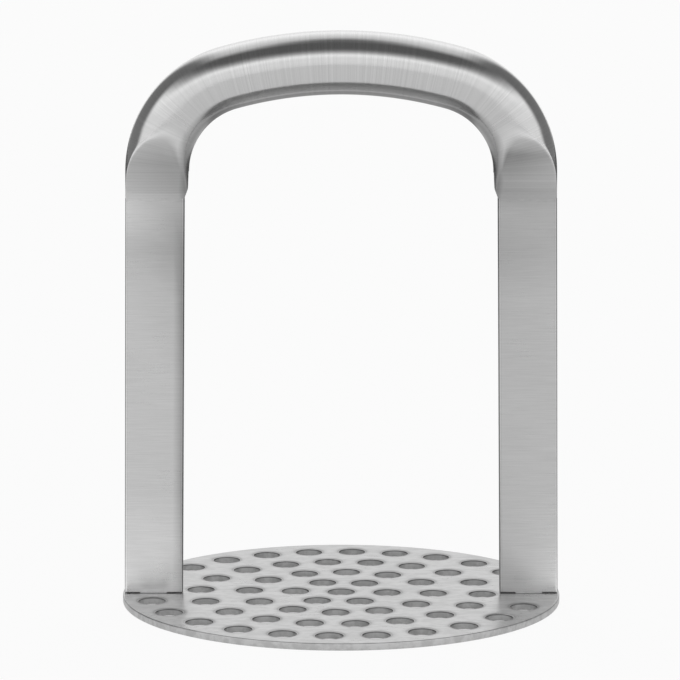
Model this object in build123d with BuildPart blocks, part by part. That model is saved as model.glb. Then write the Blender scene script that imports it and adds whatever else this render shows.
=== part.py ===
from build123d import *
from math import atan2, cos, degrees, hypot, radians, sin, sqrt, tan
import os

# Potato masher: a bent tube grip with pressed ends, two flat legs and an oval pierced plate.
# Millimetres. The origin is the middle of the plate's underside, +Z is up, X runs from leg to leg.

# Pierced plate
plate_length = 122.0
plate_depth = 113.6
plate_thickness = 2.0
rim_bevel = 0.9
rim_underside_bevel = 0.3
hole_diameter = 7.4
holes_per_ring_step = 6
hole_pattern_turn = -3.8
ring_length_shares = (0.211, 0.423, 0.647, 0.880)
ring_depth_shares = (0.204, 0.408, 0.625, 0.849)

# Legs, which stand a little further apart at their feet than at the grip
leg_width = 16.2
leg_thickness = 4.0
leg_edge_radius = 0.7
foot_inset = 0.5
foot_spread = 1.3
tang_clearance = 0.1

# Grip tube
grip_top_height = 159.1
grip_diameter = 17.5
grip_wall = 1.2
grip_straight_length = 7.1
shoulder_radius = 26.9
crown_radius = 116.0
mouth_depth = 6.5
pressed_end_length = 1.5
pressed_slope = 21.5

# Welds
foot_weld_length = 7.5
foot_weld_height = 0.3
foot_weld_toe = 0.25
seam_height = 1.0

# Overrun of every cut
cut_overrun = 5.0

# Sizes that follow from the driving sizes
half_length = plate_length / 2
half_depth = plate_depth / 2
foot_outer = half_length - foot_inset
foot_middle = foot_outer - leg_width / 2
foot_inner = foot_outer - leg_width
leg_foot_height = plate_thickness + foot_weld_height
grip_radius = grip_diameter / 2
grip_outer = foot_outer - foot_spread
grip_middle = grip_outer - grip_radius
grip_inner = grip_outer - grip_diameter
mouth_middle = grip_outer - leg_width / 2
mouth_inner = grip_outer - leg_width
bore_width = leg_width - 2 * grip_wall
bore_thickness = leg_thickness - 2 * grip_wall

# The crown arc and the two shoulder arcs of the grip's centre line run into each other smoothly
crown_centre_height = grip_top_height - grip_radius - crown_radius
shoulder_centre = grip_middle - shoulder_radius
shoulder_rise = sqrt((crown_radius - shoulder_radius) ** 2 - shoulder_centre**2)
shoulder_centre_height = crown_centre_height + shoulder_rise
crown_half_turn = degrees(atan2(shoulder_centre, shoulder_rise))
mouth_height = shoulder_centre_height - grip_straight_length
leg_top_height = mouth_height - seam_height

# Both ends of the grip are cut by a wedge, front and back, and dressed along a slope inside
kink_height = mouth_height + pressed_end_length
wedge_reach = grip_radius + cut_overrun
wedge_top = kink_height + (wedge_reach - leg_thickness / 2) / tan(radians(pressed_slope))
cut_bottom = mouth_height - cut_overrun
dressing_slope = (mouth_inner - grip_inner) / grip_straight_length
dressing_foot = mouth_inner + cut_overrun * dressing_slope

os.makedirs("parts", exist_ok=True)


def oval_reach(long_half, short_half, turn):
    """Distance from the middle of an oval to its edge, in the direction of a turn."""
    across = short_half * cos(radians(turn))
    along = long_half * sin(radians(turn))
    return long_half * short_half / hypot(across, along)


def hole_places():
    """The middle hole and the oval rings of holes, without those that the feet would cover."""
    places = [(0, 0)]
    for ring, length_share in enumerate(ring_length_shares):
        ring_half_length = length_share * half_length
        ring_half_depth = ring_depth_shares[ring] * half_depth
        count = holes_per_ring_step * (ring + 1)
        for step in range(count):
            turn = hole_pattern_turn + 360 / count * step
            reach = oval_reach(ring_half_length, ring_half_depth, turn)
            x = reach * cos(radians(turn))
            y = reach * sin(radians(turn))
            under_foot = abs(x) > foot_inner and abs(y) < (leg_thickness + hole_diameter) / 2
            if not under_foot:
                places.append((x, y))
    return places


def grip_line():
    """Centre line of the grip, from the left mouth over the crown to the right mouth."""
    crown_end = crown_radius * sin(radians(crown_half_turn))
    crown_end_height = crown_centre_height + crown_radius * cos(radians(crown_half_turn))
    with BuildLine(Plane.XZ) as line:
        left_run = Line((-grip_middle, mouth_height), (-grip_middle, shoulder_centre_height))
        left_shoulder = RadiusArc(left_run @ 1, (-crown_end, crown_end_height), shoulder_radius)
        crown = RadiusArc(left_shoulder @ 1, (crown_end, crown_end_height), crown_radius)
        right_shoulder = RadiusArc(crown @ 1, (grip_middle, shoulder_centre_height), shoulder_radius)
        Line(right_shoulder @ 1, (grip_middle, mouth_height))
    return line.line


# Pierced plate: an oval disc with a bevelled rim and rings of holes
with BuildPart() as mashing_plate:
    with BuildSketch():
        Ellipse(half_length, half_depth)
    extrude(amount=plate_thickness)
    chamfer(mashing_plate.faces().sort_by(Axis.Z)[-1].edges(), rim_bevel)
    chamfer(mashing_plate.faces().sort_by(Axis.Z)[0].edges(), rim_underside_bevel)
    with BuildSketch():
        with Locations(hole_places()):
            Circle(hole_diameter / 2)
    extrude(amount=plate_thickness, mode=Mode.SUBTRACT)
mashing_plate.part.label = "mashing_plate"
export_step(mashing_plate.part, "parts/mashing_plate.step")

# Grip: a round bend whose two ends are pressed into wedges, with mouths for the legs' tangs.
# The tube is closed by the tangs, so its inside stays filled here above the mouths.
with BuildPart() as grip_tube:
    with BuildSketch(Plane.XY.offset(mouth_height)):
        with Locations((-grip_middle, 0)):
            Circle(grip_radius)
    sweep(path=grip_line())
    # The front and back faces of both ends slope down to the thickness of the legs
    with BuildSketch(Plane.YZ):
        with BuildLine():
            Polyline(
                (leg_thickness / 2, cut_bottom),
                (leg_thickness / 2, kink_height),
                (wedge_reach, wedge_top),
                (wedge_reach, cut_bottom),
                close=True,
            )
        make_face()
        mirror(about=Plane.YZ)
    extrude(amount=grip_outer + cut_overrun, both=True, mode=Mode.SUBTRACT)
    # The sides that face each other are dressed down to the width of the legs
    with BuildSketch(Plane.XZ):
        with BuildLine():
            Polyline(
                (dressing_foot, cut_bottom),
                (grip_inner, shoulder_centre_height),
                (grip_inner - cut_overrun, shoulder_centre_height),
                (grip_inner - cut_overrun, cut_bottom),
                close=True,
            )
        make_face()
        mirror(about=Plane.YZ)
    extrude(amount=wedge_reach, both=True, mode=Mode.SUBTRACT)
    # Each mouth holds a tang, with the tube's wall all round it
    with BuildSketch(Plane.XY.offset(mouth_height)):
        with Locations((-mouth_middle, 0), (mouth_middle, 0)):
            Rectangle(bore_width, bore_thickness)
    extrude(amount=mouth_depth, mode=Mode.SUBTRACT)
grip_tube.part.label = "grip_tube"
export_step(grip_tube.part, "parts/grip_tube.step")

for side_name, side in (("left", -1), ("right", 1)):
    # Leg: a flat bar from just above the plate, with a thinner tang that fills the grip's mouth
    with BuildPart() as leg:
        with BuildSketch(Plane.XZ):
            with BuildLine():
                Polyline(
                    (side * foot_inner, leg_foot_height),
                    (side * foot_outer, leg_foot_height),
                    (side * grip_outer, leg_top_height),
                    (side * mouth_inner, leg_top_height),
                    close=True,
                )
            make_face()
        extrude(amount=leg_thickness / 2, both=True)
        fillet(leg.edges().sort_by(SortBy.LENGTH)[-4:], leg_edge_radius)
        with BuildSketch(Plane.XY.offset(leg_top_height)):
            with Locations((side * mouth_middle, 0)):
                Rectangle(bore_width - 2 * tang_clearance, bore_thickness - 2 * tang_clearance)
        extrude(amount=seam_height + mouth_depth - tang_clearance)
    leg.part.label = side_name + "_leg"
    export_step(leg.part, "parts/" + leg.part.label + ".step")

    # Shoulder seam: the ring of weld between the leg and the grip's mouth, ground flush with both
    with BuildPart() as shoulder_seam:
        with BuildSketch(Plane.XY.offset(leg_top_height)):
            with Locations((side * mouth_middle, 0)):
                RectangleRounded(leg_width, leg_thickness, leg_edge_radius)
                Rectangle(bore_width, bore_thickness, mode=Mode.SUBTRACT)
        extrude(amount=seam_height)
    shoulder_seam.part.label = side_name + "_shoulder_seam"
    export_step(shoulder_seam.part, "parts/" + shoulder_seam.part.label + ".step")

    # Foot weld: a short weld in the middle of the foot, with a thin gap left open at both corners
    with BuildPart() as foot_weld:
        with BuildSketch(Plane.YZ.offset(side * foot_middle)):
            with BuildLine():
                Polyline(
                    (-leg_thickness / 2, leg_foot_height),
                    (leg_thickness / 2, leg_foot_height),
                    (leg_thickness / 2 + foot_weld_toe, plate_thickness),
                    (-leg_thickness / 2 - foot_weld_toe, plate_thickness),
                    close=True,
                )
            make_face()
        extrude(amount=foot_weld_length / 2, both=True)
    foot_weld.part.label = side_name + "_foot_weld"
    export_step(foot_weld.part, "parts/" + foot_weld.part.label + ".step")
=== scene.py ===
from math import atan2, cos, hypot, pi, radians, sin, sqrt, tan

import bmesh
import bpy
from mathutils import Matrix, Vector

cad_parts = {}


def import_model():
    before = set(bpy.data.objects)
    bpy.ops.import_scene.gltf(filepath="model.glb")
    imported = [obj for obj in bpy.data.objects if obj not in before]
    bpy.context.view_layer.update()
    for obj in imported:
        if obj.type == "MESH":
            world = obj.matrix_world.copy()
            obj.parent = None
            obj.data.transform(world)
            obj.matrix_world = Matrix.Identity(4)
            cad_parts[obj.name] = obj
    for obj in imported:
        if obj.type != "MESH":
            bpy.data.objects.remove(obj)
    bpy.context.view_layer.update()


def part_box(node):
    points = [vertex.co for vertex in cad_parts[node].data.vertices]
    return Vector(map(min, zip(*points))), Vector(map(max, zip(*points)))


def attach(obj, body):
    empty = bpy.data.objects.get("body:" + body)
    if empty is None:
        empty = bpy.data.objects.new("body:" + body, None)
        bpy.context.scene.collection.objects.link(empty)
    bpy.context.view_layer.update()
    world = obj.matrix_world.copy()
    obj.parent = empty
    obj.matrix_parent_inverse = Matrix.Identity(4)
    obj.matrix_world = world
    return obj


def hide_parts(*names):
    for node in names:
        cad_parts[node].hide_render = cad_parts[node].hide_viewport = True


# Potato masher of brushed steel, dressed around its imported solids.
# Metres. The origin is the middle of the plate's underside, +Z is up, X runs from leg to leg.
# Angles that are typed are in degrees.
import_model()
mm = 0.001

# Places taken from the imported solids
plate_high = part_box("mashing_plate")[1]
leg_low, leg_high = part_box("right_leg")
seam_low, seam_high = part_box("right_shoulder_seam")
plate_top = plate_high.z
half_length = plate_high.x
half_depth = plate_high.y
leg_foot = leg_low.z
leg_top = seam_low.z
mouth = seam_high.z
grip_outer = seam_high.x
leg_width = seam_high.x - seam_low.x
leg_thickness = seam_high.y - seam_low.y
mouth_inner = grip_outer - leg_width

# Width of the narrow flats beside a rounding
flat_margin = 0.12 * mm

# Plate
rim_round = 0.35 * mm
rim_underside_round = 0.3 * mm
rim_edge_steps = 6
rim_steps = 240
# The rim's outer edge takes the bright tone stop: a painted highlight round the rim, with a little
# more roughness
rim_worked_and_painted_highlight = 0.2
hole_diameter = 7.4 * mm
hole_edge_round = 0.4 * mm
hole_burr_round = 0.3 * mm
hole_edge_steps = 4
hole_steps = 48
holes_per_ring_step = 6
hole_pattern_turn = -3.8
ring_length_shares = (0.211, 0.423, 0.647, 0.880)
ring_depth_shares = (0.204, 0.408, 0.625, 0.849)

# The shallow dimple round a hole, as stretches that run so far across and so far down
HOLE_DIMPLE = ((0.9 * mm, 0.02 * mm), (0.6 * mm, 0.08 * mm))
# The dimple's mark level, whose tone stop paints a darker halo round each hole: painted shade
dimple_worked_and_painted_shade = 0.1

# Legs and foot welds
leg_edge_round = 0.7 * mm
leg_edge_steps = 6
foot_spread = leg_high.x - seam_high.x
foot_reach = 1 * mm
foot_edge_round = 0.06 * mm
foot_edge_steps = 3
weld_edge_round = 0.12 * mm
weld_edge_steps = 3

# Grip
grip_diameter = 17.5 * mm
grip_top = 159.1 * mm
shoulder_radius = 26.9 * mm
crown_radius = 116.0 * mm
section_steps = 176
ring_spacing = 0.45 * mm

# Arch of the grip's centre line
grip_radius = grip_diameter / 2
grip_middle = grip_outer - grip_radius
grip_inner = grip_outer - grip_diameter
crown_centre = grip_top - grip_radius - crown_radius
shoulder_centre = grip_middle - shoulder_radius
shoulder_rise = sqrt((crown_radius - shoulder_radius) ** 2 - shoulder_centre**2)
shoulder_height = crown_centre + shoulder_rise
crown_half_turn = atan2(shoulder_centre, shoulder_rise)
shoulder_turn = pi / 2 - crown_half_turn
straight_run = shoulder_height - mouth

# Both ends of the grip are pressed into wedges, with creases where the round runs into them
pressed_end = 1.5 * mm
pressed_slope = 21.5
kink_height = mouth + pressed_end
crease_softness = 0.5 * mm
crease_reach = 0.6 * mm

# The creases get softer towards the inner side, from this far outside the middle of the tube
inner_crease_start = 3.0 * mm
inner_crease_softness = 2.5 * mm
inner_crease_reach = 4.5 * mm

# The mark for worked steel and painted light has its middle level on a crease, where a painted
# highlight runs along the crease, strongest on its outer side. By that mark's levels, the painted
# highlight fades out and the pressed face's tone sets in: greyer ground steel, with painted shade
# and painted reflections
crease_mark_level = 0.5
crease_painted_highlight = 0.5
crease_painted_highlight_fade = 0.35
face_ground_and_painted_light_fade = 0.14

# The outer side of a pressed end is fuller up to the first height above the mouth, and no longer
# so above the second. Its flat face counts as reaching at least so far from the tube's middle
outer_fullness = 0.5
outer_full_reach = (7 * mm, 19 * mm)
least_face_reach = 1 * mm

# The inner sides are dressed down to the legs' width, with a lip above each mouth
side_softness = 0.5 * mm
lip_height = 2.4 * mm
lip_depth = 0.75 * mm

# Where the painted shade on the inside of the shoulders starts and is full: inwards from the
# middle of the tube, in shares of its radius, and outwards from the middle of the masher
inner_painted_shade_depth = (0.5, 0.85)
inner_painted_shade_side = (26 * mm, 36 * mm)


# Shares
def limited(share):
    """A share, kept between 0 and 1."""
    return min(max(share, 0), 1)


def way_along(value, start, end):
    """How far a value has come from a start to an end, from 0 to 1."""
    return limited((value - start) / (end - start))


def between(first, second, share):
    """The value that lies a share of the way from a first one to a second."""
    return first + share * (second - first)


# Drawing with operators
merge_distance = 0.001 * mm
level_margin = 0.01 * mm
sharp_angle = radians(40)


def only(kind, geom):
    """The parts of one kind, in their order."""
    return [part for part in geom if isinstance(part, kind)]


def run(bm, geom, move):
    """Extrude verts and edges along a straight line and return the new end."""
    edges = only(bmesh.types.BMEdge, geom)
    if not edges:
        verts = bmesh.ops.extrude_vert_indiv(bm, verts=geom)["verts"]
        bmesh.ops.translate(bm, vec=move, verts=verts)
        return verts
    made = bmesh.ops.extrude_edge_only(bm, edges=edges)["geom"]
    verts = only(bmesh.types.BMVert, made)
    bmesh.ops.translate(bm, vec=move, verts=verts)
    new = set(verts)
    return verts + [edge for edge in only(bmesh.types.BMEdge, made) if set(edge.verts) <= new]


def turn(bm, geom, centre, angle, steps):
    """Sweep verts and edges round an axis that runs front to back, and return the new end."""
    made = bmesh.ops.spin(bm, geom=geom, cent=centre, axis=(0, 1, 0), angle=angle, steps=steps)
    return made["geom_last"]


def whole_turn(bm, steps):
    """Turn a profile all the way round the upright axis in the middle."""
    profile = list(bm.verts) + list(bm.edges)
    bmesh.ops.spin(
        bm, geom=profile, cent=(0, 0, 0), axis=(0, 0, 1), angle=2 * pi, steps=steps,
        use_merge=True,
    )


def cut(bm, spot, plane):
    """Cut the faces that a plane through a spot crosses, and keep both sides."""
    everything = list(bm.verts) + list(bm.edges) + list(bm.faces)
    bmesh.ops.bisect_plane(bm, geom=everything, plane_co=spot, plane_no=plane)


def round_off(bm, edges, size, steps):
    """Round edges off."""
    bmesh.ops.bevel(
        bm, geom=edges, offset=size, offset_type="OFFSET", segments=steps,
        profile=0.5, affect="EDGES", material=-1,
    )


def block(bm, size, middle):
    """A plain block of a size, round its middle."""
    bmesh.ops.create_cube(bm, size=1)
    bmesh.ops.scale(bm, vec=size, verts=bm.verts)
    bmesh.ops.translate(bm, vec=middle, verts=bm.verts)


def finished(name, bm, material, slot, *nodes):
    """Make a smooth piece of a bmesh, which rides on the masher and stands for CAD nodes."""
    bmesh.ops.remove_doubles(bm, verts=bm.verts, dist=merge_distance)
    bmesh.ops.recalc_face_normals(bm, faces=bm.faces)
    for face in bm.faces:
        face.smooth = True
    for edge in bm.edges:
        edge.smooth = edge.calc_face_angle(0) < sharp_angle
    mesh = bpy.data.meshes.new(name)
    bm.to_mesh(mesh)
    bm.free()
    mesh.materials.append(material)
    piece = bpy.data.objects.new(name, mesh)
    bpy.context.scene.collection.objects.link(piece)
    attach(piece, "root")
    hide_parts(*nodes)
    return piece


# Joining shader nodes
def feed(tree, node, inputs):
    """Give inputs of a node their values, or their links from other nodes."""
    for socket, value in inputs.items():
        if isinstance(value, bpy.types.NodeSocket):
            tree.links.new(value, node.inputs[socket])
        else:
            node.inputs[socket].default_value = value


def add(tree, kind, inputs=None, **settings):
    """Add a node with its settings and inputs, and return its outputs."""
    node = tree.nodes.new("ShaderNode" + kind)
    for setting, value in settings.items():
        setattr(node, setting, value)
    feed(tree, node, inputs or {})
    return node.outputs


def calculated(tree, operation, *values):
    """The outcome of an operation on values."""
    return add(tree, "Math", dict(enumerate(values)), operation=operation)["Value"]


def rescaled(tree, value, low, high, new_low=0, new_high=1, clamp=True):
    """Take a value from one range to another."""
    ranges = {"From Min": low, "From Max": high, "To Min": new_low, "To Max": new_high}
    return add(tree, "MapRange", {"Value": value, **ranges}, clamp=clamp)["Result"]


def mixed(tree, share, first, second, blend="MIX"):
    """Mix a share of a second colour into a first one."""
    inputs = {"Factor": share, "A": first, "B": second}
    return add(tree, "Mix", inputs, data_type="RGBA", blend_type=blend)["Result"]


def multiplied(tree, first, second):
    """Multiply two colours, or a colour by a value."""
    return mixed(tree, 1.0, first, second, "MULTIPLY")


def length(tree, vector):
    """The length of a vector."""
    return add(tree, "VectorMath", {0: vector}, operation="LENGTH")["Value"]


def greys(tree, value, stops):
    """Turn a value into a grey, by the places and levels of a ramp's stops."""
    node = tree.nodes.new("ShaderNodeValToRGB")
    elements = node.color_ramp.elements
    while len(elements) < len(stops):
        elements.new(0.5)
    for element, (place, level) in zip(elements, stops):
        element.position = place
        element.color = (level, level, level, 1)
    feed(tree, node, {"Fac": value})
    return node.outputs["Color"]


# Steel: its streaks and smudges, and how much they change its tone, roughness and relief
noise_middle = 0.5
streak_detail = 4.0
streak_harshness = 0.65
streak_spread = 0.2
streak_dark = 0.89
streak_light = 1.07
streak_relief = 0.25
streak_relief_height = 0.004 * mm
smudge_scale = 90.0
smudge_detail = 3.0
roughness_noise = (0.6, 1.4)
roughness_change = 0.15
worked_dullness = 0.3
# Tone at a ground level of 1, for greyer ground steel and for painted shade; levels below 0 paint
# the steel brighter
ground_and_painted_shade_tone = 0.5

# Tones from the polished faces, at 0, to the cut edges and pressed faces, at 1. Beside duller cut
# steel, these stops are painted light and shade. On the plate: a darker halo in each hole's
# dimple, a painted highlight on the upper roundings of the rim and holes, and a painted dark band
# below it on the hole walls
PLATE_TONES_AND_PAINTED_LIGHT = (
    (0, 1), (0.03, 0.82), (0.1, 0.55), (0.2, 1.2), (0.35, 0.5), (0.7, 0.4), (0.95, 0.8), (1, 1.05),
)
# On the legs and welds: a thin painted dark line, a painted highlight and a painted dark band on
# the edge roundings, and darker sides
LEG_TONES_AND_PAINTED_LIGHT = ((0, 1), (0.008, 0.6), (0.02, 1.1), (0.2, 1.2), (0.35, 0.5), (0.7, 0.5), (1, 0.75))
# On the grip: a painted highlight along the creases
GRIP_CREASE_PAINTED_HIGHLIGHT = ((0, 1), (0.36, 1), (0.46, 1.12), (0.54, 1.12), (0.64, 1), (1, 1))


def steel_colour(tree, tone, contrast, tones_and_painted_light, streaks, worked_and_painted_light, ground_and_painted_light):
    """The colour of steel: streaks, duller cut steel, greyer grinding, painted light and shade."""
    spread = streak_spread / contrast
    stops = (
        (noise_middle - spread, tone * streak_dark),
        (noise_middle + spread, tone * streak_light),
    )
    colour = multiplied(tree, greys(tree, streaks, stops), greys(tree, worked_and_painted_light, tones_and_painted_light))
    greyer = rescaled(tree, ground_and_painted_light, 0, 1, 1, ground_and_painted_shade_tone, clamp=False)
    return multiplied(tree, colour, greyer)


def steel_roughness(tree, roughness, streaks, smudges, worked_and_painted_light):
    """The roughness of steel, changed by its streaks and smudges and by how it was worked."""
    noise = calculated(tree, "ADD", streaks, smudges)
    smoothest = roughness * (1 - roughness_change)
    roughest = roughness * (1 + roughness_change)
    rough = rescaled(tree, noise, *roughness_noise, smoothest, roughest)
    return calculated(tree, "MULTIPLY_ADD", worked_and_painted_light, worked_dullness, rough)


def steel(
    name, tone, streak_scale, roughness, tones_and_painted_light,
    contrast=1.0, relief=streak_relief, anisotropy=0.0, brush_turn=0.0, brush_map=None,
):
    """Brushed steel: fine streaks in its tone, roughness and relief, and faint smudges.

    The attribute "worked_and_painted_light" runs from 0 on the polished faces to 1 where the
    steel was cut or pressed. The stops in tones_and_painted_light give the tone there: duller cut
    steel, and painted highlights and painted dark lines along the roundings. The steel gets duller
    with it. The attribute "ground_and_painted_light" is 1 where the joints were finished by
    grinding by hand, which leaves the steel greyer; it also carries painted shade and painted
    reflections down the legs and on the pressed faces, and below 0 it paints the steel brighter.
    The streaks follow the piece's own UV map if one is named, and its place if none is.
    """
    material = bpy.data.materials.new(name)
    material.use_nodes = True
    tree = material.node_tree
    place = add(tree, "TexCoord")
    source = place["UV" if brush_map else "Object"]
    brush = add(tree, "Mapping", {"Vector": source, "Scale": streak_scale})["Vector"]
    grain = {"Scale": 1.0, "Detail": streak_detail, "Roughness": streak_harshness}
    streaks = add(tree, "TexNoise", {"Vector": brush, **grain})["Fac"]
    patches = {"Scale": smudge_scale, "Detail": smudge_detail}
    smudges = add(tree, "TexNoise", {"Vector": place["Object"], **patches})["Fac"]
    worked_and_painted_light = add(tree, "Attribute", attribute_name="worked_and_painted_light")["Fac"]
    ground_and_painted_light = add(tree, "Attribute", attribute_name="ground_and_painted_light")["Fac"]
    ridges = {"Height": streaks, "Strength": relief, "Distance": streak_relief_height}
    shader = tree.nodes["Principled BSDF"]
    feed(tree, shader, {
        "Base Color": steel_colour(tree, tone, contrast, tones_and_painted_light, streaks, worked_and_painted_light, ground_and_painted_light),
        "Metallic": 1.0,
        "Roughness": steel_roughness(tree, roughness, streaks, smudges, worked_and_painted_light),
        "Normal": add(tree, "Bump", ridges)["Normal"],
        "Anisotropic": anisotropy,
        "Anisotropic Rotation": brush_turn,
    })
    if brush_map:
        tangent = add(tree, "Tangent", direction_type="UV_MAP", uv_map=brush_map)["Tangent"]
        feed(tree, shader, {"Tangent": tangent})
    return material


plate_steel = steel(
    "plate_steel", tone=0.51, streak_scale=(250, 600, 300), roughness=0.3, tones_and_painted_light=PLATE_TONES_AND_PAINTED_LIGHT,
    contrast=2.5, relief=0.08,
)
leg_steel = steel(
    "leg_steel", tone=0.68, streak_scale=(110, 110, 4200), roughness=0.3, tones_and_painted_light=LEG_TONES_AND_PAINTED_LIGHT,
    contrast=0.7, anisotropy=0.6, brush_turn=0.25,
)
grip_steel = steel(
    "grip_steel", tone=0.67, streak_scale=(4600, 260, 1), roughness=0.18, tones_and_painted_light=GRIP_CREASE_PAINTED_HIGHLIGHT,
    anisotropy=0.5, brush_map="brush",
)
weld_steel = steel(
    "weld_steel", tone=0.67, streak_scale=(400, 400, 1500), roughness=0.34, tones_and_painted_light=LEG_TONES_AND_PAINTED_LIGHT
)


# Plate
def oval_reach(long_half, short_half, angle):
    """Distance from the middle of an oval to its edge, in the direction of an angle."""
    return long_half * short_half / hypot(short_half * cos(angle), long_half * sin(angle))


def hole_places():
    """The middle hole and the oval rings of holes, without those that the feet would cover."""
    foot_inner = leg_high.x - leg_width
    places = [(0, 0)]
    for ring, length_share in enumerate(ring_length_shares):
        ring_half_length = length_share * half_length
        ring_half_depth = ring_depth_shares[ring] * half_depth
        count = holes_per_ring_step * (ring + 1)
        for step in range(count):
            angle = radians(hole_pattern_turn + 360 / count * step)
            reach = oval_reach(ring_half_length, ring_half_depth, angle)
            x = reach * cos(angle)
            y = reach * sin(angle)
            under_foot = abs(x) > foot_inner and abs(y) < (leg_thickness + hole_diameter) / 2
            if not under_foot:
                places.append((x, y))
    return places


def corner_turn(bm, end, x, z, outward, steps):
    """Turn the end of a plate's edge profile a quarter round the middle of a rounding."""
    end = turn(bm, end, (x, 0, z), outward * pi / 2, steps)
    return only(bmesh.types.BMVert, end)


def edge_profile(bm, reach, outward, margin, upper_round, lower_round, steps):
    """Profile of a plate edge: top margin, upper rounding, wall, lower rounding, bottom margin.

    The reach goes from the middle to the wall. Outward is 1 for the rim and -1 for a hole.
    """
    width = sum(across for across, down in margin)
    dip = sum(down for across, down in margin)
    wall_top = plate_top - dip - upper_round
    end = [bm.verts.new((reach - outward * (upper_round + width), 0, plate_top))]
    for across, down in margin:
        end = run(bm, end, (outward * across, 0, -down))
    end = corner_turn(bm, end, reach - outward * upper_round, wall_top, outward, steps)
    end = run(bm, end, (0, 0, lower_round - wall_top))
    end = corner_turn(bm, end, reach - outward * lower_round, lower_round, outward, steps)
    run(bm, end, (-outward * flat_margin, 0, 0))


def hole_wall():
    """The wall of one hole, round the origin, with rounded upper and lower edges."""
    bm = bmesh.new()
    reach = hole_diameter / 2
    edge_profile(bm, reach, -1, HOLE_DIMPLE, hole_edge_round, hole_burr_round, hole_edge_steps)
    whole_turn(bm, hole_steps)
    mesh = bpy.data.meshes.new("hole_wall")
    bm.to_mesh(mesh)
    bm.free()
    return mesh


def hole_worked_and_painted_light(depth):
    """Mark round a hole at a depth below the plate's top, for the punch's dullness and for painted
    light
    and shade: a painted dark halo in the dimple, and a painted highlight and dark bands on the
    rounding.
    """
    dimple = sum(down for across, down in HOLE_DIMPLE)
    if depth < dimple:
        return dimple_worked_and_painted_shade * depth / dimple
    return between(dimple_worked_and_painted_shade, 1, min((depth - dimple) / hole_edge_round, 1))


def pierced_plate():
    """The oval plate: a rounded rim, one rounded wall for each hole, and two pierced faces."""
    bm = bmesh.new()
    worked_and_painted_light = bm.verts.layers.float.new("worked_and_painted_light")
    margin = ((flat_margin, 0),)
    edge_profile(bm, half_length, 1, margin, rim_round, rim_underside_round, rim_edge_steps)
    for vert in bm.verts:
        vert[worked_and_painted_light] = rim_worked_and_painted_highlight if vert.co.x > half_length - rim_round / 2 else 0
    whole_turn(bm, rim_steps)
    bmesh.ops.scale(bm, vec=(1, half_depth / half_length, 1), verts=bm.verts)
    wall = hole_wall()
    for x, y in hole_places():
        bm.from_mesh(wall)
        bm.verts.ensure_lookup_table()
        copied = bm.verts[-len(wall.vertices):]
        for vert in copied:
            vert[worked_and_painted_light] = hole_worked_and_painted_light(plate_top - vert.co.z)
        bmesh.ops.translate(bm, vec=(x, y, 0), verts=copied)
    bpy.data.meshes.remove(wall)
    for level in (plate_top, 0):
        open_edges = [edge for edge in bm.edges if edge.is_boundary]
        rims = [e for e in open_edges if abs(e.verts[0].co.z - level) < level_margin]
        bmesh.ops.triangle_fill(bm, use_beauty=True, edges=rims, normal=(0, 0, 1))
    return finished("pierced_plate", bm, plate_steel, "plate_steel", "mashing_plate")


# How far the steel round the joints was ground, together with painted shade and painted
# reflections down the legs and on the pressed faces, on the left and on the right: height above
# the mouth, level on the outer side, level on the inner side. Levels above 0 make the steel
# greyer, below 0 brighter
LEFT_GROUND_AND_PAINTED_LIGHT = (
    (15 * mm, 0.05, 0.5),
    (10 * mm, 0.3, 0.75),
    (2 * mm, 0, 0.5),
    (-4 * mm, -0.2, 0.66),
    (-14 * mm, 0.2, 0.75),
    (-28 * mm, 0, 0.3),
    (-55 * mm, 0, 0.05),
    (-82 * mm, -0.05, 0),
    (-108 * mm, -0.6, -0.8),
)
RIGHT_GROUND_AND_PAINTED_LIGHT = (
    (15 * mm, 0.1, 0.6),
    (12.5 * mm, 0.5, 1.2),
    (10 * mm, 0.35, 1),
    (5 * mm, 0.2, 0.5),
    (0, 0.55, 0.72),
    (-4 * mm, 0.46, 0.5),
    (-14 * mm, 0.42, 0.62),
    (-28 * mm, 0.2, 0.34),
    (-55 * mm, 0.2, 0.22),
    (-82 * mm, 0.15, 0.2),
    (-97 * mm, -0.04, 0.12),
    (-108 * mm, -0.5, 0.15),
)
GROUND_AND_PAINTED_LIGHT_ROWS = {-1: LEFT_GROUND_AND_PAINTED_LIGHT, 1: RIGHT_GROUND_AND_PAINTED_LIGHT}

# The painted dark reflection along the inner edge of the left leg: where it starts across the leg,
# its level, and the heights over which it sets in
left_painted_reflection_start = 0.82
left_painted_reflection_level = 0.85
left_painted_reflection_reach = (-4 * mm, -30 * mm)


def ground_and_painted_light_level(side, x, z):
    """How far grinding greyed the steel at a place on the left or right leg or grip end, together
    with the painted shade and painted reflections there.
    """
    rows = GROUND_AND_PAINTED_LIGHT_ROWS[side]
    across = limited((grip_outer - abs(x)) / leg_width)
    height = min(max(z - mouth, rows[-1][0]), rows[0][0])
    for upper, lower in zip(rows, rows[1:]):
        if height >= lower[0]:
            break
    share = (height - lower[0]) / (upper[0] - lower[0])
    outer = between(lower[1], upper[1], share)
    inner = between(lower[2], upper[2], share)
    # A painted dark reflection along the left leg's inner edge
    strip = 0
    if side < 0:
        strip = left_painted_reflection_level * way_along(height, *left_painted_reflection_reach)
        strip *= way_along(across, left_painted_reflection_start, 1)
    return between(outer, inner, across) + strip


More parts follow.
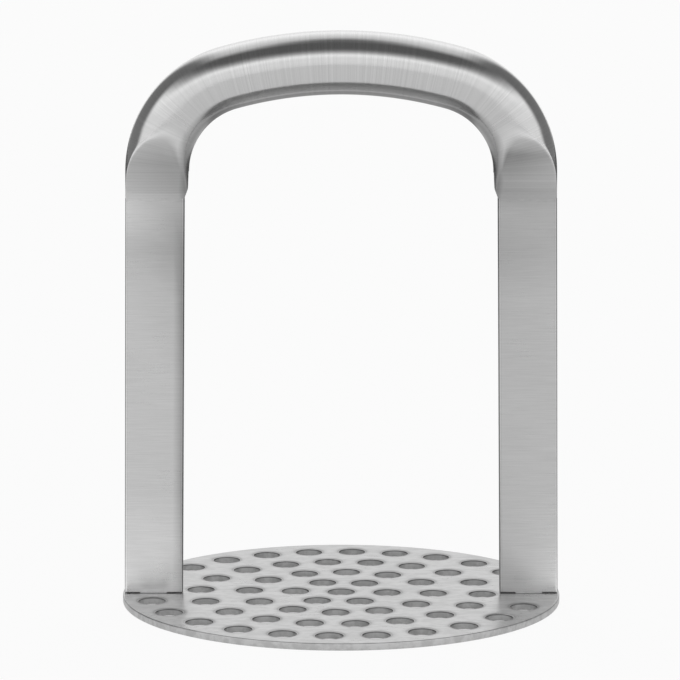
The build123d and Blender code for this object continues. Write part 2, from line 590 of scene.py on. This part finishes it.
# Legs, seams and foot welds
def rounded_bar(bm, centre_x, low, high):
    """A flat bar on end, with rounded upright edges and narrow flats beside the roundings."""
    block(bm, (leg_width, leg_thickness, high - low), (centre_x, 0, (low + high) / 2))
    upright = [e for e in bm.edges if abs(e.verts[0].co.z - e.verts[1].co.z) > (high - low) / 2]
    round_off(bm, upright, leg_edge_round, leg_edge_steps)
    across = leg_width / 2 - leg_edge_round - flat_margin
    deep = leg_thickness / 2 - leg_edge_round - flat_margin
    for offset in (across, -across):
        cut(bm, (centre_x + offset, 0, 0), (1, 0, 0))
    for offset in (deep, -deep):
        cut(bm, (0, offset, 0), (0, 1, 0))


def mark_worked_and_painted_light(bm, side):
    """Mark the cut edges of a flat bar, where the tone stops paint highlights and dark lines, and
    the steel round the joint for its grinding, with painted shade and painted reflections down the
    bar.
    """
    worked_and_painted_light = bm.verts.layers.float.new("worked_and_painted_light")
    ground_and_painted_light = bm.verts.layers.float.new("ground_and_painted_light")
    cut(bm, (side * (grip_outer - left_painted_reflection_start * leg_width), 0, 0), (1, 0, 0))
    for vert in bm.verts:
        x, y, z = vert.co
        vert[worked_and_painted_light] = min((leg_thickness / 2 - abs(y)) / leg_edge_round, 1)
        vert[ground_and_painted_light] = ground_and_painted_light_level(side, x, z)


def leg(side_name, side):
    """A flat leg with a softly broken foot, leaning out a little towards the plate."""
    bm = bmesh.new()
    rounded_bar(bm, side * (grip_outer - leg_width / 2), leg_foot, leg_top)
    low_edges = [e for e in bm.edges if max(v.co.z for v in e.verts) < leg_foot + foot_reach]
    foot = [edge for edge in low_edges if edge.calc_face_angle(0) > sharp_angle]
    round_off(bm, foot, foot_edge_round, foot_edge_steps)
    heights = [row[0] for row in GROUND_AND_PAINTED_LIGHT_ROWS[side]]
    for height in heights + [left_painted_reflection_reach[1]]:
        cut(bm, (0, 0, mouth + height), (0, 0, 1))
    mark_worked_and_painted_light(bm, side)
    lean = Matrix.Shear("XY", 4, (-side * foot_spread / (leg_top - leg_foot), 0))
    bmesh.ops.transform(
        bm, matrix=lean, space=Matrix.Translation((0, 0, -leg_top)), verts=bm.verts
    )
    return finished(side_name + "_leg_bar", bm, leg_steel, "leg_steel", side_name + "_leg")


def shoulder_seam(side_name, side):
    """The ground weld between a leg and the grip."""
    bm = bmesh.new()
    rounded_bar(bm, side * (grip_outer - leg_width / 2), leg_top, mouth)
    mark_worked_and_painted_light(bm, side)
    name = side_name + "_shoulder_seam"
    return finished(name + "_band", bm, weld_steel, "weld_steel", name)


def foot_weld(side_name):
    """The short weld under the middle of a foot."""
    node = side_name + "_foot_weld"
    low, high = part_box(node)
    bm = bmesh.new()
    block(bm, high - low, (low + high) / 2)
    round_off(bm, list(bm.edges), weld_edge_round, weld_edge_steps)
    return finished(node + "_bead", bm, weld_steel, "weld_steel", node)


# Grip
def bent_tube():
    """A round tube, swept from the left mouth over the crown to the right one and closed."""
    bm = bmesh.new()
    bmesh.ops.create_circle(bm, segments=section_steps, radius=grip_radius, cap_ends=False)
    bmesh.ops.translate(bm, vec=(-grip_middle, 0, mouth), verts=bm.verts)
    end = list(bm.verts) + list(bm.edges)
    straight_steps = round(straight_run / ring_spacing)
    shoulder_steps = round(shoulder_radius * shoulder_turn / ring_spacing)
    crown_steps = round(2 * crown_radius * crown_half_turn / ring_spacing)
    left_shoulder = (-shoulder_centre, 0, shoulder_height)
    crown = (0, 0, crown_centre)
    right_shoulder = (shoulder_centre, 0, shoulder_height)
    for step in range(straight_steps):
        end = run(bm, end, (0, 0, straight_run / straight_steps))
    end = turn(bm, end, left_shoulder, shoulder_turn, shoulder_steps)
    end = turn(bm, end, crown, 2 * crown_half_turn, crown_steps)
    end = turn(bm, end, right_shoulder, shoulder_turn, shoulder_steps)
    for step in range(straight_steps):
        end = run(bm, end, (0, 0, -straight_run / straight_steps))
    mouths = [edge for edge in bm.edges if edge.is_boundary]
    bmesh.ops.holes_fill(bm, edges=mouths, sides=0)
    return bm


def side_of(x):
    """-1 on the left half of the masher and 1 on the right one."""
    return 1 if x > 0 else -1


def shoulder_angle(x, z):
    """Angle round the middle of the nearer shoulder's arc, from its outer end upwards."""
    return atan2(z - shoulder_height, abs(x) - shoulder_centre)


def along_arch(x, z):
    """Signed distance along the grip's centre line, from the middle of the crown."""
    side = side_of(x)
    crown_turn = atan2(abs(x), z - crown_centre)
    if crown_turn < crown_half_turn:
        return side * crown_radius * crown_turn
    reach = crown_radius * crown_half_turn
    if z > shoulder_height:
        return side * (reach + shoulder_radius * (shoulder_turn - shoulder_angle(x, z)))
    return side * (reach + shoulder_radius * shoulder_turn + shoulder_height - z)


def map_brush(bm):
    """Lay the brushed pattern along the grip's centre line and round it."""
    brush = bm.loops.layers.uv.new("brush")
    for face in bm.faces:
        for loop in face.loops:
            x, y, z = loop.vert.co
            around = atan2(y, hypot(x, z - shoulder_height))
            loop[brush].uv = (along_arch(x, z), around * grip_radius)


def wedge_half(z):
    """Half the thickness of the wedge at a height."""
    return leg_thickness / 2 + max(z - kink_height, 0) * tan(radians(pressed_slope))


def soft_limit(value, limit, softness):
    """The lower of a value and its limit, with the corner between them rounded off."""
    blend = max(softness - abs(value - limit), 0) / softness
    return min(value, limit) - blend * blend * softness / 4


def fuller(x, z):
    """Push the outer side of a pressed end outwards, so that its flat faces reach further."""
    centre_x = grip_middle
    centre_z = z
    if z > shoulder_height:
        centre_x = shoulder_centre + shoulder_radius * cos(shoulder_angle(x, z))
        centre_z = shoulder_height + shoulder_radius * sin(shoulder_angle(x, z))
    depth = hypot(abs(x) - centre_x, z - centre_z)
    full, end = outer_full_reach
    share = outer_fullness * way_along(z - mouth, end, full)
    outward = abs(x) > centre_x or z > centre_z
    if not outward or depth < level_margin or share == 0:
        return x, z
    face_reach = sqrt(max(grip_radius**2 - wedge_half(z) ** 2, least_face_reach**2))
    new_reach = between(face_reach, grip_radius, share)
    if depth < face_reach:
        moved = depth * new_reach / face_reach
    else:
        rest = (grip_radius - new_reach) / (grip_radius - face_reach)
        moved = new_reach + (depth - face_reach) * rest
    across = (abs(x) - centre_x) * moved / depth
    up = (z - centre_z) * moved / depth
    return side_of(x) * (centre_x + across), centre_z + up


def inner_painted_shade(x, z):
    """How much painted shade darkens the inside of the shoulders."""
    depth = grip_middle - abs(x)
    if z > shoulder_height:
        depth = shoulder_radius - hypot(abs(x) - shoulder_centre, z - shoulder_height)
    return way_along(depth / grip_radius, *inner_painted_shade_depth) * way_along(abs(x), *inner_painted_shade_side)


def press(vert, worked_and_painted_light, ground_and_painted_light):
    """Press a vert of the grip into the wedge, and mark its dullness, its grinding, and where
    light and shade are painted.

    The mark for pressed steel and painted light runs from 0 to 1 across the creases, from the
    round to the pressed faces. The creases get a painted highlight, strongest on the outer side.
    """
    x, y, z = vert.co
    half = wedge_half(z)
    inward = limited((grip_middle + inner_crease_start - abs(x)) / grip_radius)
    reach = between(crease_reach, inner_crease_reach, inward)
    softness = between(crease_softness, inner_crease_softness, inward)
    deep = soft_limit(abs(y), half, softness)
    vert.co.y = deep if y > 0 else -deep
    pressed = limited(crease_mark_level + (abs(y) - half) / (2 * reach))
    on_face = limited((pressed - crease_mark_level) / face_ground_and_painted_light_fade)
    off_crease = abs(pressed - crease_mark_level)
    # A painted highlight along the crease's outer side
    painted_highlight = crease_painted_highlight * (1 - inward) * max(1 - off_crease / crease_painted_highlight_fade, 0)
    vert[worked_and_painted_light] = pressed
    # Ground steel with painted shade and painted reflections on the pressed faces, painted shade
    # inside the shoulders, brightened by the painted highlight
    vert[ground_and_painted_light] = max(on_face * ground_and_painted_light_level(side_of(x), x, z), inner_painted_shade(x, z)) - painted_highlight


def dress(vert):
    """Dress a vert on the inner side of the grip's ends back to the width of the legs."""
    x, y, z = vert.co
    lip = max(lip_height - (z - mouth), 0) / lip_height * lip_depth
    slope = (mouth_inner - lip_depth - grip_inner) / straight_run
    inner = grip_inner + (shoulder_height - z) * slope + lip
    vert.co.x = side_of(x) * -soft_limit(-abs(x), -inner, side_softness)


def grip():
    """The bent tube, with its ends pressed into wedges and dressed inside."""
    bm = bent_tube()
    map_brush(bm)
    worked_and_painted_light = bm.verts.layers.float.new("worked_and_painted_light")
    ground_and_painted_light = bm.verts.layers.float.new("ground_and_painted_light")
    for vert in bm.verts:
        vert.co.x, vert.co.z = fuller(vert.co.x, vert.co.z)
        press(vert, worked_and_painted_light, ground_and_painted_light)
        if vert.co.z < shoulder_height:
            dress(vert)
    return finished("arched_grip", bm, grip_steel, "grip_steel", "grip_tube")


pierced_plate()
grip()
for side_name, side in (("left", -1), ("right", 1)):
    leg(side_name, side)
    shoulder_seam(side_name, side)
    foot_weld(side_name)


# Floor
floor_radius = 4.0
floor_steps = 96
floor_tone = 0.9
floor_roughness = 0.9
floor_white_to_camera = 0.93
floor_white_to_steel = 0.5
# Less white glow under the plate paints shade there, and lets the plate's real shadow show
floor_white_in_painted_shade = 0.55
under_plate_reach = (0.95, 0.98)

# Where the steel sees a dark floor: far off to both sides, and just behind the masher, where it is
# a painted shadow that only the steel's reflections show. Each pair gives where the dark starts
# and where it is full, by the distance, the way back or the way aside
dark_floor_level = 0.12
dark_sides_distance = (0.3, 0.5)
dark_sides_back = (-0.2, 0.05)
dark_sides_aside = (0.08, 0.14)
painted_shadow_behind_back = (0.045, 0.09)
painted_shadow_behind_aside = (0.06, 0.045)
painted_shadow_behind_share = 0.65


def white_share(tree, place, seen):
    """How far the floor shows white to the camera and to the steel, and less under the plate:
    painted shade there, which also lets the plate's real shadow show.
    """
    to_camera = calculated(tree, "MULTIPLY", seen["Is Camera Ray"], floor_white_to_camera)
    to_steel = calculated(tree, "MULTIPLY", seen["Is Glossy Ray"], floor_white_to_steel)
    through = calculated(tree, "MULTIPLY", seen["Is Transmission Ray"], floor_white_to_camera)
    most = calculated(tree, "MAXIMUM", to_camera, to_steel)
    most = calculated(tree, "MAXIMUM", most, through)
    oval = {0: place, 1: (1 / half_length, 1 / half_depth, 0)}
    reach = length(tree, add(tree, "VectorMath", oval, operation="MULTIPLY")["Vector"])
    shade = rescaled(tree, reach, *under_plate_reach, floor_white_in_painted_shade, 1)
    return calculated(tree, "MULTIPLY", most, shade)


def dark_share(tree, place, seen):
    """How far the steel sees dark in the floor: the dark sides of the room, and a painted shadow
    just behind the masher.
    """
    parts = add(tree, "SeparateXYZ", {"Vector": place})
    aside = calculated(tree, "ABSOLUTE", parts["X"])
    sides = rescaled(tree, length(tree, place), *dark_sides_distance)
    sides = calculated(tree, "MULTIPLY", sides, rescaled(tree, parts["Y"], *dark_sides_back))
    sides = calculated(tree, "MULTIPLY", sides, rescaled(tree, aside, *dark_sides_aside))
    # A painted shadow on the floor just behind the masher, seen only in reflections
    behind = rescaled(tree, parts["Y"], *painted_shadow_behind_back, 0, painted_shadow_behind_share)
    behind = calculated(tree, "MULTIPLY", behind, rescaled(tree, aside, *painted_shadow_behind_aside))
    dark = calculated(tree, "MAXIMUM", sides, behind)
    return calculated(tree, "MULTIPLY", dark, seen["Is Glossy Ray"])


def floor_white():
    """The floor's material: pale and matt, with a share of plain white, less of it under the plate
    as painted shade, and, for steel, a share of dark with a painted shadow just behind the masher.
    """
    material = bpy.data.materials.new("floor_white")
    material.use_nodes = True
    tree = material.node_tree
    place = add(tree, "TexCoord")["Object"]
    seen = add(tree, "LightPath")
    pale = tree.nodes["Principled BSDF"]
    colour = (floor_tone, floor_tone, floor_tone, 1)
    feed(tree, pale, {"Base Color": colour, "Roughness": floor_roughness})
    white = add(tree, "Emission")["Emission"]
    dark = add(tree, "Emission", {"Strength": dark_floor_level})["Emission"]
    lit_mix = {"Fac": white_share(tree, place, seen), 1: pale.outputs["BSDF"], 2: white}
    lit = add(tree, "MixShader", lit_mix)["Shader"]
    room_mix = {"Fac": dark_share(tree, place, seen), 1: lit, 2: dark}
    room = add(tree, "MixShader", room_mix)["Shader"]
    feed(tree, tree.nodes["Material Output"], {"Surface": room})
    return material


def floor():
    """A pale round floor that keeps the masher's shadow and shows white, as in the photograph."""
    bm = bmesh.new()
    bmesh.ops.create_circle(bm, cap_ends=True, segments=floor_steps, radius=floor_radius)
    mesh = bpy.data.meshes.new("floor")
    bm.to_mesh(mesh)
    bm.free()
    mesh.materials.append(floor_white())
    piece = bpy.data.objects.new("floor", mesh)
    bpy.context.scene.collection.objects.link(piece)


# Elevation in degrees and level of the light from in front, from behind and from both sides
FRONT_LIGHT = (
    (-90, 0.9), (4, 0.92), (13, 0.98), (20, 0.94), (26, 1.08), (32, 1.22), (38, 0.72),
    (46, 0.3), (54, 0.12), (90, 0.12),
)
BACK_LIGHT = ((-90, 1.0), (20, 1.0), (42, 1.3), (60, 1.0), (74, 0.75), (84, 0.3), (90, 0.12))
SIDE_LIGHT = ((-90, 1.0), (-3, 1.0), (-1, 0.25), (90, 0.14))

# How far back and how far aside a direction points where the light from behind and from the sides
# sets in and where it is all there is
back_light_reach = (-0.15, 0.1)
side_light_reach = (0.3, 0.5)


def by_height(light):
    """The stops of a ramp that runs from straight down to straight up."""
    return [((sin(radians(elevation)) + 1) / 2, level) for elevation, level in light]


def world():
    """A white studio: one broad lit wall in front, a lit strip behind, dark sides and ceiling."""
    studio = bpy.data.worlds.new("studio")
    bpy.context.scene.world = studio
    studio.use_nodes = True
    tree = studio.node_tree
    parts = add(tree, "SeparateXYZ", {"Vector": add(tree, "TexCoord")["Generated"]})
    height = rescaled(tree, parts["Z"], -1, 1)
    front, back, sides = [
        greys(tree, height, by_height(light)) for light in (FRONT_LIGHT, BACK_LIGHT, SIDE_LIGHT)
    ]
    aside = calculated(tree, "ABSOLUTE", parts["X"])
    behind = mixed(tree, rescaled(tree, aside, *side_light_reach), back, sides)
    around = mixed(tree, rescaled(tree, parts["Y"], *back_light_reach), front, behind)
    feed(tree, tree.nodes["Background"], {"Color": around})


# Camera, with its lens and film width in millimetres
camera_distance = 965 * mm
camera_height = 243.6 * mm
camera_side = -0.33 * mm
camera_pitch = 10.0
camera_lens = 187.6
camera_film_width = 36
camera_nearest = 10 * mm


def camera():
    """The photograph's view: from the front, a little from above, with a long lens."""
    data = bpy.data.cameras.new("camera")
    data.lens = camera_lens
    data.sensor_width = camera_film_width
    data.clip_start = camera_nearest
    piece = bpy.data.objects.new("camera", data)
    piece.location = (camera_side, -camera_distance, camera_height)
    piece.rotation_euler = (radians(90 - camera_pitch), 0, 0)
    bpy.context.scene.collection.objects.link(piece)
    bpy.context.scene.camera = piece


floor()
world()
camera()
bpy.context.scene.view_settings.view_transform = "Standard"

bpy.context.view_layer.update()
